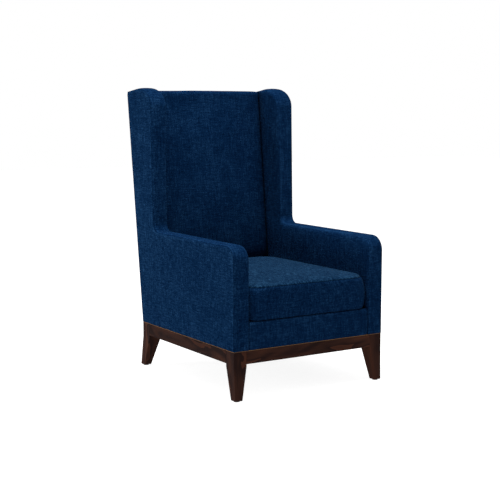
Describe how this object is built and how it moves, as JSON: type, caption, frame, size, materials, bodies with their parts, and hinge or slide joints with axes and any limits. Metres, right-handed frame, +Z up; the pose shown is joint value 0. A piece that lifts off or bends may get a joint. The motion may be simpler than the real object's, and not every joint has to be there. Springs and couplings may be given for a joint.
{
  "type": "wing armchair",
  "caption": "High-back wing armchair with a fixed upholstered back, wings and arms, a loose boxed seat cushion and a tapered dark wood base.",
  "frame": {"origin": "middle of the footprint box on the floor", "axes": "+Z up, the sitter faces -Y, +X to the right of someone looking at the front; the chair is symmetric about the YZ plane"},
  "size_m": [0.71, 0.8744, 1.19],
  "materials": {
    "cover_fabric": "deep blue chenille velvet, matt, soft sheen",
    "base_wood": "dark walnut stain, satin lacquer",
    "frame_wood": "sawn, unfinished",
    "hardboard": "plain",
    "webbing": "jute",
    "foam": "open cell foam and batting",
    "lining_cloth": "plain black-blue cloth",
    "spring_steel": "oil tempered",
    "zinc_steel": "zinc plated",
    "glide_plastic": "matt",
    "zip_tape": "woven tape",
    "zip_metal": "enamelled"
  },
  "bodies": {
    "chair": {"arm_post_left": "frame_wood", "arm_post_right": "frame_wood", "arm_rail_left": "frame_wood", "arm_rail_right": "frame_wood", "back_foam": "foam", "back_lower_rail": "frame_wood", "back_post_left": "frame_wood", "back_post_right": "frame_wood", "back_top_rail": "frame_wood", "back_webbing_across": "webbing", "back_webbing_upright": "webbing", "base_corner_blocks": "frame_wood", "base_rail_back": "base_wood", "base_rail_front": "base_wood", "base_rail_left": "base_wood", "base_rail_right": "base_wood", "deck_burlap": "webbing", "deck_cloth": "lining_cloth", "deck_pad": "foam", "dust_cover": "lining_cloth", "foot_glides": "glide_plastic", "front_border_cover": "cover_fabric", "front_border_pad": "foam", "inner_side_cover_left": "cover_fabric", "inner_side_cover_right": "cover_fabric", "inside_back_cover": "cover_fabric", "leg_bolts": "zinc_steel", "leg_front_left": "base_wood", "leg_front_right": "base_wood", "leg_rear_left": "base_wood", "leg_rear_right": "base_wood", "outer_side_cover_left": "cover_fabric", "outer_side_cover_right": "cover_fabric", "outside_back_cover": "cover_fabric", "seat_corner_blocks": "frame_wood", "seat_rail_back": "frame_wood", "seat_rail_front": "frame_wood", "seat_rail_left": "frame_wood", "seat_rail_right": "frame_wood", "seat_springs": "spring_steel", "side_board_left": "hardboard", "side_board_right": "hardboard", "side_boxing_left": "cover_fabric", "side_boxing_right": "cover_fabric", "side_foam_left": "foam", "side_foam_right": "foam", "spring_clips": "spring_steel", "spring_tie_wires": "spring_steel", "wing_stile_left": "frame_wood", "wing_stile_right": "frame_wood", "wing_top_rail_left": "frame_wood", "wing_top_rail_right": "frame_wood"},
    "seat_cushion": {"cushion_core": "foam", "cushion_top_panel": "cover_fabric", "cushion_boxing": "cover_fabric", "cushion_bottom_panel": "cover_fabric", "cushion_zip_tape": "zip_tape"},
    "zip_slider": {"cushion_zip_slider": "zip_metal"}
  },
  "joints": [
    {"name": "cushion_lift", "type": "slide", "parent": "chair", "child": "seat_cushion", "axis": [0, 0, 1], "range_m": [0, 0.35]},
    {"name": "zip_slide", "type": "slide", "parent": "seat_cushion", "child": "zip_slider", "axis": [1, 0, 0], "range_m": [0, 0.456]}
  ]
}
